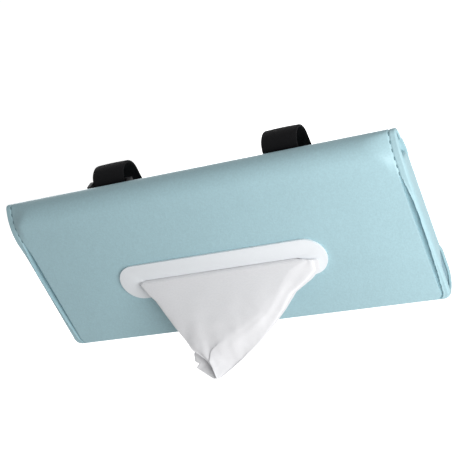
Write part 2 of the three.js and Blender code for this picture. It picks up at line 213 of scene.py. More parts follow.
def smooth(piece, degrees=35):
    deselect_all()
    piece.select_set(True)
    bpy.context.view_layer.objects.active = piece
    bpy.ops.object.shade_smooth_by_angle(angle=math.radians(degrees))


def belongs(piece, material, slot_name, body, *nodes):
    """Gives a piece its finish, its body and the solids that it stands for."""
    piece.data.materials.clear()
    piece.data.materials.append(material)
    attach(piece, body)
    if nodes:
        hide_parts(*nodes)


def arc(centre_y, centre_z, radius, from_degrees, to_degrees, steps):
    for step in range(steps + 1):
        angle = math.radians(from_degrees + (to_degrees - from_degrees) * step / steps)
        yield centre_y + radius * math.cos(angle), centre_z + radius * math.sin(angle)


def straight(start, end, steps):
    for step in range(steps):
        share = step / steps
        yield start[0] + (end[0] - start[0]) * share, start[1] + (end[1] - start[1]) * share


def rounded_bar(name, length, height, middle_x, middle_z, front, back):
    """A bar with round ends, made from a disc whose halves are drawn apart."""
    corners = 96
    half_step = math.pi / corners
    radius = height / 2 / math.cos(half_step)
    reach = length / 2 - height / 2
    deselect_all()
    bpy.ops.mesh.primitive_circle_add(vertices=corners, radius=radius * mm, fill_type="NGON")
    bar = bpy.context.object
    bar.name = name
    bar.data.name = name
    bpy.ops.object.mode_set(mode="EDIT")
    bpy.ops.transform.rotate(value=half_step, orient_axis="Z", center_override=(0, 0, 0))
    for side in (-1, 1):
        bpy.ops.mesh.select_all(action="DESELECT")
        bpy.ops.object.mode_set(mode="OBJECT")
        for corner in bar.data.vertices:
            if corner.co.x * side > 0:
                corner.select = True
        bpy.ops.object.mode_set(mode="EDIT")
        bpy.ops.transform.translate(value=(side * reach * mm, 0, 0))
    bpy.ops.mesh.select_all(action="SELECT")
    bpy.ops.mesh.extrude_region_move(TRANSFORM_OT_translate={"value": (0, 0, (back - front) * mm)})
    bpy.ops.mesh.select_all(action="SELECT")
    bpy.ops.mesh.normals_make_consistent(inside=False)
    bpy.ops.object.mode_set(mode="OBJECT")
    bar.rotation_euler = (math.pi / 2, 0, 0)
    bar.location = spot(middle_x, back, middle_z)
    bpy.ops.object.transform_apply(location=True, rotation=True, scale=True)
    return bar


def cut_with(piece, cutter):
    finish_with(piece, "BOOLEAN", object=cutter, operation="DIFFERENCE", solver="EXACT")
    bpy.data.objects.remove(cutter)


def join_with(piece, other):
    finish_with(piece, "BOOLEAN", object=other, operation="UNION", solver="EXACT")
    bpy.data.objects.remove(other)


def math_node(nodes, links, operation, first, second):
    node = nodes.new("ShaderNodeMath")
    node.operation = operation
    for socket, value in zip(node.inputs, (first, second)):
        if isinstance(value, (int, float)):
            socket.default_value = value
        else:
            links.new(value, socket)
    return node.outputs[0]


def noise(nodes, links, place, scale, detail):
    texture = nodes.new("ShaderNodeTexNoise")
    texture.inputs["Scale"].default_value = scale
    texture.inputs["Detail"].default_value = detail
    links.new(place, texture.inputs["Vector"])
    return texture.outputs["Fac"]


def graded(nodes, links, value, low, high):
    """A colour or grey between low and high, as value goes from a third to two thirds."""
    ramp = nodes.new("ShaderNodeValToRGB")
    ramp.color_ramp.elements[0].position = 0.33
    ramp.color_ramp.elements[1].position = 0.67
    ramp.color_ramp.elements[0].color = (*low, 1)
    ramp.color_ramp.elements[1].color = (*high, 1)
    links.new(value, ramp.inputs["Fac"])
    return ramp.outputs["Color"]


def bumped(nodes, links, shader, height, depth_mm, strength):
    bump = nodes.new("ShaderNodeBump")
    bump.inputs["Strength"].default_value = strength
    bump.inputs["Distance"].default_value = depth_mm * mm
    links.new(height, bump.inputs["Height"])
    links.new(bump.outputs["Normal"], shader.inputs["Normal"])


def leather_material():
    """Pebbled imitation leather: fine cells, and a faint change of tone from place to place."""
    material, nodes, links, shader = new_material("pale_blue_leather")
    place = nodes.new("ShaderNodeTexCoord").outputs["Object"]
    cells = nodes.new("ShaderNodeTexVoronoi")
    cells.feature = "SMOOTH_F1"
    cells.inputs["Scale"].default_value = 1100
    cells.inputs["Smoothness"].default_value = 0.6
    links.new(place, cells.inputs["Vector"])
    fine = noise(nodes, links, place, 2600, 3)
    mottle = noise(nodes, links, place, 45, 2)
    pebble = math_node(nodes, links, "MULTIPLY_ADD", fine, 0.5)
    links.new(cells.outputs["Distance"], pebble.node.inputs[2])
    bumped(nodes, links, shader, pebble, 0.12, 0.35)
    dark = [channel * 0.95 for channel in leather_blue]
    light = [min(1, channel * 1.05) for channel in leather_blue]
    tone = math_node(nodes, links, "MULTIPLY_ADD", mottle, 0.25)
    speckle = noise(nodes, links, place, 1000, 2)
    links.new(math_node(nodes, links, "MULTIPLY", speckle, 0.75), tone.node.inputs[2])
    links.new(graded(nodes, links, tone, dark, light), shader.inputs["Base Color"])
    gloss = graded(nodes, links, mottle, (0.46,) * 3, (0.54,) * 3)
    links.new(gloss, shader.inputs["Roughness"])
    shader.inputs["Specular IOR Level"].default_value = 0.35
    return material


leather = leather_material()


def front_sheet_path():
    """The outer line of the front sheet, from its foot up the front, over and down the back."""
    roll_start = case_height - front_roll_radius
    back_roll_start = case_height - back_roll_radius
    back_seam_z = 91.73
    yield from straight((0, fold_radius), (0, corner_radius), 6)
    yield from straight((0, corner_radius), (0, roll_start), 42)
    yield from arc(front_roll_radius, roll_start, front_roll_radius, 180, 90, 14)
    over_top = arc(front_roll_radius, back_roll_start, back_roll_radius, 90, 0, 8)
    next(over_top)
    yield from over_top
    yield from straight((case_depth, back_roll_start - 1), (case_depth, back_seam_z), 4)
    yield case_depth, back_seam_z


def inward(path, row):
    """The direction into the case at a row of a sheet's outer line."""
    (y, z), (next_y, next_z) = path[max(0, row - 1)], path[min(len(path) - 1, row + 1)]
    length = math.hypot(next_y - y, next_z - z)
    return (next_z - z) / length, (y - next_y) / length


def eased(value, start, end):
    """Goes smoothly from 0 to 1 as the value goes from start to end."""
    share = min(1, max(0, (value - start) / (end - start)))
    return share * share * (3 - 2 * share)


def head_reach(x, z):
    """How far out a point lies, as a share of its place: the head leans over to the left."""
    left_lean, right_lean = 0.025, 0.012
    if x < 0:
        return 1 + left_lean * eased(z, lean_start, lean_end)
    return 1 - right_lean * eased(z, 80, 101)


def pinched_depth(z):
    """How far back the sheet lies where its head is pinched flat: a slope, then the round top."""
    foot, slope_head, slope_depth, curl = 76, 97.85, 8.33, 1.9
    if z > slope_head:
        rise = z - case_height + back_roll_radius
        return front_roll_radius - math.sqrt(back_roll_radius**2 - rise**2)
    return slope_depth * (max(0, z - foot) / (slope_head - foot)) ** curl


def pinched_line(path, x):
    """The sheet's outer line at a place across it: beyond the board, its head is pinched flat."""
    board_side, roll_side, flat_side, widening_foot = 108.5, 99, 115.5, 87
    line = []
    for y, z in path:
        start = board_side + (roll_side - board_side) * eased(z, widening_foot, case_height)
        if y < front_roll_radius:
            y += (max(y, pinched_depth(z)) - y) * eased(abs(x), start, flat_side)
        line.append((y, z))
    return line


def trimmed(x, z):
    """A place across the sheet, whose left margin is cut a little wider below the head."""
    extra_share = 0.23
    beyond = max(0, -x - seam_x)
    return x - extra_share * beyond * (1 - eased(z, lean_start, lean_end))


def corner_inset(distance):
    """How far a foot corner's round takes the edge in, at a distance from the foot fold."""
    left = corner_radius - min(corner_radius, distance)
    return corner_radius - math.sqrt(corner_radius**2 - left**2)


def groove_share(z):
    """The groove opens below the head, is widest about the middle and narrows towards the foot."""
    foot, head, widest, fullness = -6, 79, 56, 0.7
    reach = (head - z) / (head - widest) if z > widest else (z - foot) / (widest - foot)
    return math.sin(math.pi / 2 * min(1, max(0, reach))) ** fullness


def margin_offset(across, z, on_front):
    """How far in and how far towards the middle the sheet goes at a distance outside the seam."""
    seam_dip, seam_band = 0.4, 0.5
    groove_start, groove_width, groove_depth, undercut = -0.4, 2.9, 3.2, 2
    ridge_rise, ridge_band = 0.5, 0.6
    edge, turned_band, turned_depth = margin_half - seam_x, 0.9, 1.2
    dip = seam_dip * math.exp(-((across / seam_band) ** 2))
    shift = 0
    opening = groove_share(z)
    if on_front and opening > 0:
        reach = (across - groove_start) / (groove_width * opening)
        if 0 < reach < 1:
            dip = max(dip, groove_depth * opening * math.sin(math.pi * reach) ** 0.5)
            shift = undercut * opening * math.sin(2 * math.pi * min(0.5, reach))
        elif reach >= 1:
            beyond = across - groove_start - groove_width * opening
            dip -= ridge_rise * opening * math.exp(-((beyond / ridge_band) ** 2))
    turned = max(0, across - edge + turned_band) / turned_band
    return dip + turned_depth * turned**2, shift


def across_places(half, edge_band, wide_step, fine_step):
    """Places across a sheet, close together in a band along both edges."""
    core = half - edge_band
    wide_count = round(2 * core / wide_step)
    fine_count = round(edge_band / fine_step)
    places = [-half + edge_band * step / fine_count for step in range(fine_count)]
    places += [-core + 2 * core * step / wide_count for step in range(wide_count)]
    return places + [core + edge_band * step / fine_count for step in range(fine_count + 1)]


def front_sheet():
    path = list(front_sheet_path())
    places = across_places(margin_half, edge_band=8.5, wide_step=2.2, fine_step=0.2)
    lines = [pinched_line(path, x) for x in places]

    def place(column, row):
        y, z = lines[column][row]
        x = places[column]
        in_y, in_z = inward(lines[column], row)
        dip, shift = margin_offset(abs(x) - seam_x, z, on_front=y < 1)
        width_share = head_reach(x, z) - corner_inset(z) / margin_half
        across = trimmed(x, z) * width_share - math.copysign(shift, x)
        return spot(across, y + dip * in_y, z + dip * in_z)

    sheet = grid_piece("front_leather", len(places) - 1, len(path) - 1, place)
    finish_with(sheet, "SOLIDIFY", thickness=skin * mm, offset=-1)
    cut_with(sheet, rounded_bar("collar_hole", hole_length, hole_height, hole_x, hole_z, -5, 5))
    smooth(sheet)
    belongs(sheet, leather, "imitation_leather", "case", "front_cover")


front_sheet()

# The thread: short stitches of blue thread, darkened as painted shade for the needle holes that they
# sink into. They hold the front sheet to the gussets, where they show at the head of each side, close
# the back, edge the flap's lap and hold the strap patches. Each stitch is a small spindle that sinks
# into the leather at both ends.
stitch_pitch = 4.1
backwards = Vector((0, 1, 0))
# Painted shade: this blue is darker than the thread's own colour, to stand for the shaded needle holes.
thread_blue_darkened_as_hole_shade = (0.17, 0.30, 0.34)


def thread_material():
    """Twisted sewing thread, darker than its own blue as painted shade for the needle holes: slanted
    strands that run round the thread.
    """
    material, nodes, links, shader = new_material("thread_darkened_as_hole_shade")
    place = nodes.new("ShaderNodeTexCoord").outputs["Object"]
    strands = nodes.new("ShaderNodeTexWave")
    strands.bands_direction = "DIAGONAL"
    strands.inputs["Scale"].default_value = 900
    strands.inputs["Distortion"].default_value = 1.5
    links.new(place, strands.inputs["Vector"])
    dark = [channel * 0.7 for channel in thread_blue_darkened_as_hole_shade]
    colour = graded(nodes, links, strands.outputs["Fac"], dark, thread_blue_darkened_as_hole_shade)
    links.new(colour, shader.inputs["Base Color"])
    bumped(nodes, links, shader, strands.outputs["Fac"], 0.1, 0.5)
    shader.inputs["Roughness"].default_value = 0.7
    return material


thread = thread_material()


def sewn_row(name, places, body):
    """A row of stitches, each at a (centre, along, outward) of its own, joined into one piece."""
    length, width, height = 2.1, 0.75, 0.5
    deselect_all()
    bpy.ops.mesh.primitive_uv_sphere_add(segments=8, ring_count=6, radius=mm / 2)
    first = bpy.context.object
    bpy.ops.object.mode_set(mode="EDIT")
    bpy.ops.transform.resize(value=(length, width, height), center_override=(0, 0, 0))
    bpy.ops.object.mode_set(mode="OBJECT")
    copies = []
    for centre, along, outward in places:
        stitch = bpy.data.objects.new(name, first.data.copy())
        bpy.context.collection.objects.link(stitch)
        turn = Matrix((along, outward.cross(along), outward)).transposed().to_4x4()
        stitch.data.transform(Matrix.Translation(centre) @ turn)
        copies.append(stitch)
    bpy.data.objects.remove(first)
    deselect_all()
    for stitch in copies:
        stitch.select_set(True)
    row = copies[0]
    bpy.context.view_layer.objects.active = row
    bpy.ops.object.join()
    row.name = name
    row.data.name = name
    smooth(row, 60)
    belongs(row, thread, "imitation_leather", body)


def along_line(start, end, outward):
    """Places for stitches on a straight line, at the stitch pitch."""
    run = end - start
    count = max(1, round(run.length / (stitch_pitch * mm)))
    for step in range(count):
        yield start + run * ((step + 0.5) / count), run.normalized(), outward


def along_side(path, x, first, count):
    """Places for stitches up a side of a sheet, from a length along its outer line onwards."""
    walked, sunk = 0, 0.3
    wanted = [first + stitch_pitch * step for step in range(count)]
    for (y, z), (next_y, next_z) in zip(path, path[1:]):
        step = math.hypot(next_y - y, next_z - z)
        while wanted and walked + step >= wanted[0]:
            share = (wanted.pop(0) - walked) / step
            along = Vector((0, next_y - y, next_z - z)).normalized()
            outward = Vector((0, -along.z, along.y))
            centre = spot(x * head_reach(x, z), y + (next_y - y) * share, z + (next_z - z) * share)
            yield centre - outward * sunk * mm, along, outward
        walked += step


seam_line = pinched_line(front_sheet_path(), seam_x)
seam_start = 78.4
seam_stitches = 6
for side, sign in (("left", -1), ("right", 1)):
    places = along_side(seam_line, sign * seam_x, seam_start, seam_stitches)
    sewn_row(f"{side}_seam_stitches", places, "case")

# The gussets: one folded strip of the same leather along each side, sewn behind the front sheet's
# margin. It runs back as the side wall and is tucked in under the back sheet. At the head it folds
# in under the roll, and at the foot its back part folds in, so that the closing flap fits over it.
wall_x = 117.35
web_x = 113.6
foot_taper = (19, 26)


def wall_reach(z):
    """How far back the side wall stands out at a height, before it turns in."""
    full, least = 11.3, 4.3
    return least + (full - least) * eased(z, *foot_taper)


def wall_out(x, z):
    """How far the side wall stands out at a height: at the head it lies in, under the roll."""
    tucked_x, tuck_start, tuck_end = 112.5, 85.2, 87
    out = wall_x + (tucked_x - wall_x) * eased(z, tuck_start, tuck_end)
    return out * head_reach(x, z)


def gusset(side, sign):
    heights = [2, 2.6, 4, 7, 11, 15, 18, 20, 22, 24, 26, 30, 38, 48, 58, 66, 74, 80, 84,
               85.2, 86, 87, 88.2, 90, 92, 94, 95.4]
    knots, front_tuck, back_tuck, board_side = 9, 1.9, 12.1, 110.9

    def place(column, row):
        z = heights[row]
        front = front_tuck + pinched_depth(z)
        out, reach = wall_out(sign, z), max(wall_reach(z), front + 1)
        web = min(web_x * head_reach(sign, z), out)
        wall = reach - front
        # The section: from the front's margin out along the wall, then in and under the back.
        line = ((out - 0.35, front), (out - 0.05, front + 0.25 * wall), (out, front + 0.6 * wall),
                (out - 0.1, reach - 0.4), (max(web, out - 0.8), reach),
                (max(web, out - 2.8), reach + 0.35), (web, min(back_tuck, reach + 0.9)),
                (web, back_tuck), (max(web - 1.8, board_side), back_tuck))
        x, y = line[column if sign > 0 else knots - 1 - column]
        return spot(sign * x, y, z)

    strip = grid_piece(f"{side}_side_strip", knots - 1, len(heights) - 1, place)
    finish_with(strip, "SOLIDIFY", thickness=0.7 * mm, offset=0)
    finish_with(strip, "SUBSURF", levels=2, render_levels=2)
    smooth(strip, 60)
    belongs(strip, leather, "imitation_leather", "case", f"{side}_gusset")


gusset("left", -1)
gusset("right", 1)

# The back sheet: the same leather over the back board, sewn to the gussets at both sides and under
# the front sheet's end at the top. It is narrower at the foot, where the flap's lap covers it.
back_half = 117
back_foot_half = 113.2
back_foot = 9.8
back_head = 91.7


def back_reach(x, z):
    """How far out a point of the back lies, as a share of its place: a narrow foot, a leaning head."""
    head_extra = 0.8
    half = back_foot_half + (back_half - back_foot_half) * eased(z, *foot_taper)
    half += head_extra * eased(z, 80, 86)
    return head_reach(x, z) * half / back_half


def along_back_seam(sign):
    """Places for stitches up a side of the back, along its leaning seam."""
    first, count, sunk = 30, 15, 0.35
    heights = [first + stitch_pitch * step for step in range(count + 1)]
    seam = [spot(sign * seam_x * back_reach(sign, z), case_depth - sunk, z) for z in heights]
    for start, end in zip(seam, seam[1:]):
        yield from along_line(start, end, backwards)


def back_sheet():
    places = across_places(back_half, edge_band=9, wide_step=6, fine_step=0.6)
    rows, seam_dip, seam_band = 30, 0.4, 0.9

    def place(column, row):
        x = places[column]
        z = back_head + (back_foot - back_head) * row / rows
        dip = seam_dip * math.exp(-(((abs(x) - seam_x) / seam_band) ** 2))
        return spot(x * back_reach(x, z), case_depth - dip, z)

    sheet = grid_piece("back_leather", len(places) - 1, rows, place)
    finish_with(sheet, "SOLIDIFY", thickness=skin * mm, offset=-1)
    bevelled(sheet, 0.3, segments=2, degrees=60)
    smooth(sheet)
    belongs(sheet, leather, "imitation_leather", "case", "back_cover")
    for side, sign in (("left", -1), ("right", 1)):
        sewn_row(f"{side}_back_stitches", along_back_seam(sign), "case")
    top_z, top_half = 94.2, 112
    left_end, right_end = spot(-top_half, case_depth, top_z), spot(top_half, case_depth, top_z)
    sewn_row("top_back_stitches", along_line(left_end, right_end, backwards), "case")


back_sheet()

# The closing flap: the front sheet's leather carried on round the foot and up the back, where its
# lap is held by two magnets. It turns at the fold along the front's foot.
flap_depth = 15.8
flap_roll_radius = 9.5
lap_top = 28
lap_corner_radius = 8


def flap_path(inset, first_y):
    """A line of the flap, from the lap's edge down the back and under the foot to the fold."""
    edge_step, roll_step = 0.3, 0.6
    lap_y, corner_z = flap_depth - inset, lap_top - lap_corner_radius
    centre_y = flap_depth - flap_roll_radius
    yield lap_y, lap_top
    yield from straight((lap_y, lap_top - edge_step), (lap_y, corner_z), 12)
    yield from straight((lap_y, corner_z), (lap_y, flap_roll_radius), 6)
    yield from arc(centre_y, flap_roll_radius, flap_roll_radius - inset, 360, 270, 16)
    yield from straight((centre_y - roll_step, inset), (first_y, inset), 8)
    yield first_y, inset


def flap_places():
    return across_places(back_half, edge_band=6, wide_step=6, fine_step=0.6)


def flap_half(y, z):
    """Half the flap's width at a place on its outer line, with round corners at lap and foot."""
    if z > lap_top - lap_corner_radius:
        rise = min(lap_corner_radius, z - lap_top + lap_corner_radius)
        return back_half - lap_corner_radius + math.sqrt(lap_corner_radius**2 - rise**2)
    if z < fold_radius and y < corner_radius:
        return back_half - corner_inset(max(y, z))
    return back_half


def closing_flap():
    path = list(flap_path(0, fold_radius))
    shares = [place / back_half for place in flap_places()]
    # Two more places at each edge dip towards the inside, where the leather is turned in.
    edge_dips = (1.65, 0.8)
    dips = [*edge_dips, *[0] * len(shares), *reversed(edge_dips)]
    shares = [-1, -1, *shares, 1, 1]

    def place(column, row):
        y, z = path[row]
        in_y, in_z = inward(path, row)
        dip = dips[column]
        return spot(shares[column] * flap_half(y, z), y + dip * in_y, z + dip * in_z)

    sheet = grid_piece("flap_leather", len(shares) - 1, len(path) - 1, place)
    finish_with(sheet, "SOLIDIFY", thickness=skin * mm, offset=-1)
    bevelled(sheet, 0.3, segments=2, degrees=60)
    smooth(sheet)
    belongs(sheet, leather, "imitation_leather", "closing_flap", "flap_cover")
    top_half, top_z, side_x, side_foot, side_head = 114, 25.4, 114.4, 11, 24.2
    left_end, right_end = spot(-top_half, flap_depth, top_z), spot(top_half, flap_depth, top_z)
    stitches = list(along_line(left_end, right_end, backwards))
    for x in (-side_x, side_x):
        foot, head = spot(x, flap_depth, side_foot), spot(x, flap_depth, side_head)
        stitches += along_line(foot, head, backwards)
    sewn_row("flap_stitches", stitches, "closing_flap")


def foot_fold():
    """The rounded fold itself, where the leather turns from the front sheet to the flap."""
    path = list(arc(fold_radius, fold_radius, fold_radius, 270, 180, 10))
    shares = [place / back_half for place in flap_places()]

    def place(column, row):
        y, z = path[row]
        return spot(shares[column] * (back_half - corner_inset(max(y, z))), y, z)

    fold = grid_piece("foot_fold", len(shares) - 1, len(path) - 1, place)
    finish_with(fold, "SOLIDIFY", thickness=0.8 * mm, offset=-1)
    smooth(fold)
    fold.data.materials.append(leather)
    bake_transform(fold)


closing_flap()
foot_fold()

# The linings: thin bonded cloth on the inner faces of the front, the back and the flap. It is
# point-bonded, so a fine grid of small dents covers it.
lining_half = 110.5
front_lining_y = 2.5
front_lining_foot = 2.6
front_lining_head = 88.4
back_lining_y = 10.9
flap_lining_inset = 2.2
flap_lining_start = 2.4
flap_lining_margin = 1.6
lining_grey_blue = (0.32, 0.46, 0.52)


def lining_material():
    material, nodes, links, shader = new_material("bonded_lining")
    place = nodes.new("ShaderNodeTexCoord").outputs["Object"]
    dents = nodes.new("ShaderNodeTexVoronoi")
    dents.inputs["Scale"].default_value = 700
    dents.inputs["Randomness"].default_value = 0.15
    links.new(place, dents.inputs["Vector"])
    fibres = noise(nodes, links, place, 1500, 5)
    dark = [channel * 0.85 for channel in lining_grey_blue]
    links.new(graded(nodes, links, fibres, dark, lining_grey_blue), shader.inputs["Base Color"])
    bumped(nodes, links, shader, dents.outputs["Distance"], 0.15, 0.5)
    shader.inputs["Roughness"].default_value = 0.95
    return material


bonded_lining = lining_material()


def lining(name, path, half_at, body, node, hole=None):
    """A lining laid along a line, which shows its face on the left of the line's direction."""
    columns = 40

    def place(column, row):
        return spot(half_at(*path[row]) * (2 * column / columns - 1), *path[row])

    sheet = grid_piece(name, columns, len(path) - 1, place)
    finish_with(sheet, "SOLIDIFY", thickness=0.3 * mm, offset=-1)
    if hole:
        cut_with(sheet, hole)
    smooth(sheet)
    belongs(sheet, bonded_lining, "lining", body, node)
    length = sum(math.dist(here, there) for here, there in zip(path, path[1:]))
    widest = max(half_at(*here) for here in path)


def straight_half(y, z):
    return lining_half


def flap_lining_half(y, z):
    return flap_half(y, z) - flap_lining_margin


def flat_line(y, start_z, end_z):
    return [*straight((y, start_z), (y, end_z), 24), (y, end_z)]


front_line = flat_line(front_lining_y, front_lining_head, front_lining_foot)
back_line = flat_line(back_lining_y, back_foot, back_head)
flap_line = list(flap_path(flap_lining_inset, flap_lining_start))[:0:-1]
lining_hole = rounded_bar("lining_hole", hole_length, hole_height, hole_x, hole_z, 1, 4)
lining("front_inner_cloth", front_line, straight_half, "case", "front_lining", lining_hole)
lining("back_inner_cloth", back_line, straight_half, "case", "back_lining")
lining("flap_inner_cloth", flap_line, flap_lining_half, "closing_flap", "flap_lining")

# The boards: grey board inside the front, the back and the flap, which keeps the sheets flat. The
# solids are right as they are and get pressed paper pulp for their finish.
board_grey = (0.27, 0.23, 0.19)


def board_material():
    material, nodes, links, shader = new_material("grey_board")
    place = nodes.new("ShaderNodeTexCoord").outputs["Object"]
    pulp = noise(nodes, links, place, 900, 6)
    flecks = noise(nodes, links, place, 260, 3)
    both = math_node(nodes, links, "MULTIPLY_ADD", pulp, 0.5)
    links.new(math_node(nodes, links, "MULTIPLY", flecks, 0.5), both.node.inputs[2])
    light = [channel * 1.35 for channel in board_grey]
    links.new(graded(nodes, links, both, board_grey, light), shader.inputs["Base Color"])
    bumped(nodes, links, shader, pulp, 0.1, 0.4)
    shader.inputs["Roughness"].default_value = 0.9
    return material


def refinish(material, *nodes):
    """Gives solids that stay as they are their finish."""
    for node in nodes:
        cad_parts[node].material_slots[0].material = material


refinish(board_material(), "front_board", "back_board", "flap_board")

# The magnets in the flap and the steel discs in the back that they hold on to: plated metal, with
# small marks all over.


def plated_metal(name, grey, roughness):
    material, nodes, links, shader = new_material(name)
    place = nodes.new("ShaderNodeTexCoord").outputs["Object"]
    marks = noise(nodes, links, place, 1400, 4)
    dark = (grey * 0.85,) * 3
    links.new(graded(nodes, links, marks, dark, (grey,) * 3), shader.inputs["Base Color"])
    bumped(nodes, links, shader, marks, 0.02, 0.4)
    shader.inputs["Metallic"].default_value = 1
    shader.inputs["Roughness"].default_value = roughness
    return material


refinish(plated_metal("bright_steel", 0.55, 0.35), "left_back_steel_disc", "right_back_steel_disc")
refinish(plated_metal("nickel_plate", 0.42, 0.28), "left_flap_magnet", "right_flap_magnet")

# The outlet: a white moulded frame with round ends. Its collar goes through the front, and a ring
# pressed on behind holds it. The rim and the slot's edge are rounded over.
bezel_length = 127.4
bezel_height = 23.1
bezel_z = 40
bezel_front = -1.3
bezel_back = -0.1
slot_length = 100
slot_height = 7.2
collar_wall = 1.2
collar_start = -0.6
collar_end = 3.6
ring_front = 2.6
ring_clearance = 0.3
ring_rim = 6
cool_white = (0.86, 0.89, 0.92)


def white_plastic_material():
    """Moulded plastic: nearly even white, with the slight ripple of a polished mould."""
    material, nodes, links, shader = new_material("cool_white_plastic")
    place = nodes.new("ShaderNodeTexCoord").outputs["Object"]
    ripple = noise(nodes, links, place, 700, 2)
    dark = [channel * 0.993 for channel in cool_white]
    links.new(graded(nodes, links, ripple, dark, cool_white), shader.inputs["Base Color"])
    links.new(graded(nodes, links, ripple, (0.30,) * 3, (0.34,) * 3), shader.inputs["Roughness"])
    bumped(nodes, links, shader, noise(nodes, links, place, 300, 2), 0.02, 0.12)
    return material


white_plastic = white_plastic_material()


def outlet_bar(name, growth, front, back):
    """The slot's outline, grown all round, as a bar to join or to cut with."""
    length, height = slot_length + 2 * growth, slot_height + 2 * growth
    return rounded_bar(name, length, height, hole_x, hole_z, front, back)


def outlet_frame():
    plate = rounded_bar("outlet_frame", bezel_length, bezel_height, hole_x, bezel_z,
                        bezel_front, bezel_back)
    join_with(plate, outlet_bar("collar", collar_wall, collar_start, collar_end))
    cut_with(plate, outlet_bar("slot", 0, -5, 8))
    bevelled(plate, 0.5, segments=4, degrees=50)
    smooth(plate, 40)
    belongs(plate, white_plastic, "white_plastic", "case", "outlet_bezel")


def outlet_ring():
    hole_growth = collar_wall + ring_clearance
    ring = outlet_bar("outlet_ring", hole_growth + ring_rim, ring_front, collar_end)
    cut_with(ring, outlet_bar("ring_hole", hole_growth, -5, 8))
    bevelled(ring, 0.25, segments=2, degrees=50)
    smooth(ring, 40)
    belongs(ring, white_plastic, "white_plastic", "case", "outlet_retainer")


outlet_frame()
outlet_ring()

# The straps: two loops of black elastic webbing, 20 mm wide, from which the case hangs. Each is
# sewn to a leather patch on the back. The webbing is cupped a little across its width.
strap_x = 52.5
strap_width = 20
strap_thickness = 1.4
strap_face = 15.0
strap_bend_radius = 9.3
strap_top_bend = 94.6
strap_foot_bend = 36.3
webbing_black = (0.0035, 0.0035, 0.004)


def webbing_material(loop_length):
    """Woven elastic: ribs across the webbing and cords along it, on the webbing's own map."""
    rib_pitch, cord_pitch = 1.15, 0.95
    material, nodes, links, shader = new_material("black_elastic_webbing")
    place = nodes.new("ShaderNodeUVMap").outputs["UV"]
    split = nodes.new("ShaderNodeSeparateXYZ")
    links.new(place, split.inputs[0])
    rib_turns = 2 * math.pi * loop_length / rib_pitch
    cord_turns = 2 * math.pi * strap_width / cord_pitch
    ribs = math_node(nodes, links, "MULTIPLY", split.outputs["Y"], rib_turns)
    cords = math_node(nodes, links, "MULTIPLY", split.outputs["X"], cord_turns)
    rib_wave = math_node(nodes, links, "SINE", ribs, 0)
    cord_wave = math_node(nodes, links, "SINE", cords, 0)
    weave = math_node(nodes, links, "MULTIPLY", rib_wave, cord_wave)
    height = math_node(nodes, links, "MULTIPLY_ADD", weave, 0.5)
    height.node.inputs[2].default_value = 0.5
    brighter = [channel * 2.4 for channel in webbing_black]
    links.new(graded(nodes, links, height, webbing_black, brighter), shader.inputs["Base Color"])
    bumped(nodes, links, shader, height, 0.25, 0.8)
    shader.inputs["Roughness"].default_value = 0.85
    shader.inputs["Specular IOR Level"].default_value = 0.12
    return material


def loop_path():
    """The webbing's outer line: down the far run, round the foot, up the near run and over."""
    centre = strap_face + strap_bend_radius
    far = strap_face + 2 * strap_bend_radius
    run_steps, bow = 20, 0.9
    for y, z in straight((far, strap_top_bend), (far, strap_foot_bend), run_steps):
        share = (strap_top_bend - z) / (strap_top_bend - strap_foot_bend)
        yield y + bow * math.sin(math.pi * share) ** 2, z
    yield from list(arc(centre, strap_foot_bend, strap_bend_radius, 0, -180, 18))[:-1]
    yield from straight((strap_face, strap_foot_bend), (strap_face, strap_top_bend), run_steps)
    yield from arc(centre, strap_top_bend, strap_bend_radius, 180, 0, 18)


def strap(side, x, material):
    path = list(loop_path())
    columns, cup = 8, 0.3
    centre_z = (strap_top_bend + strap_foot_bend) / 2

    def place(column, row):
        y, z = path[row]
        across = 2 * column / columns - 1
        beyond = max(0, z - strap_top_bend, strap_foot_bend - z) / strap_bend_radius
        rise = cup * (1 - across**2) * beyond
        return spot(x + across * strap_width / 2, y, z + math.copysign(rise, z - centre_z))

    webbing = grid_piece(f"{side}_webbing", columns, len(path) - 1, place)
    bpy.ops.object.mode_set(mode="EDIT")
    bpy.ops.mesh.select_all(action="SELECT")
    bpy.ops.mesh.remove_doubles(threshold=0.00001)
    bpy.ops.object.mode_set(mode="OBJECT")
    finish_with(webbing, "SOLIDIFY", thickness=strap_thickness * mm, offset=-1)
    bevelled(webbing, 0.5, segments=3, degrees=60)
    smooth(webbing, 50)
    belongs(webbing, material, "elastic_webbing", "case", f"{side}_strap")


strap_line = list(loop_path())
strap_length = sum(math.dist(here, there) for here, there in zip(strap_line, strap_line[1:]))
webbing_finish = webbing_material(strap_length)
strap("left", -strap_x, webbing_finish)
strap("right", strap_x, webbing_finish)

# The strap patches: small leather rectangles with round corners, which tie the near run of each
# strap to the back. A row of stitches up each side, beside the webbing, sews them down.


def block(name, width, depth, height, middle):
    """A plain block about its middle, in millimetres, to shape further."""
    deselect_all()
    bpy.ops.mesh.primitive_cube_add(size=1, location=middle)
    piece = bpy.context.object
    piece.name = name
    piece.data.name = name
    piece.scale = (width * mm, depth * mm, height * mm)
    bpy.ops.object.transform_apply(location=True, rotation=True, scale=True)
    return piece


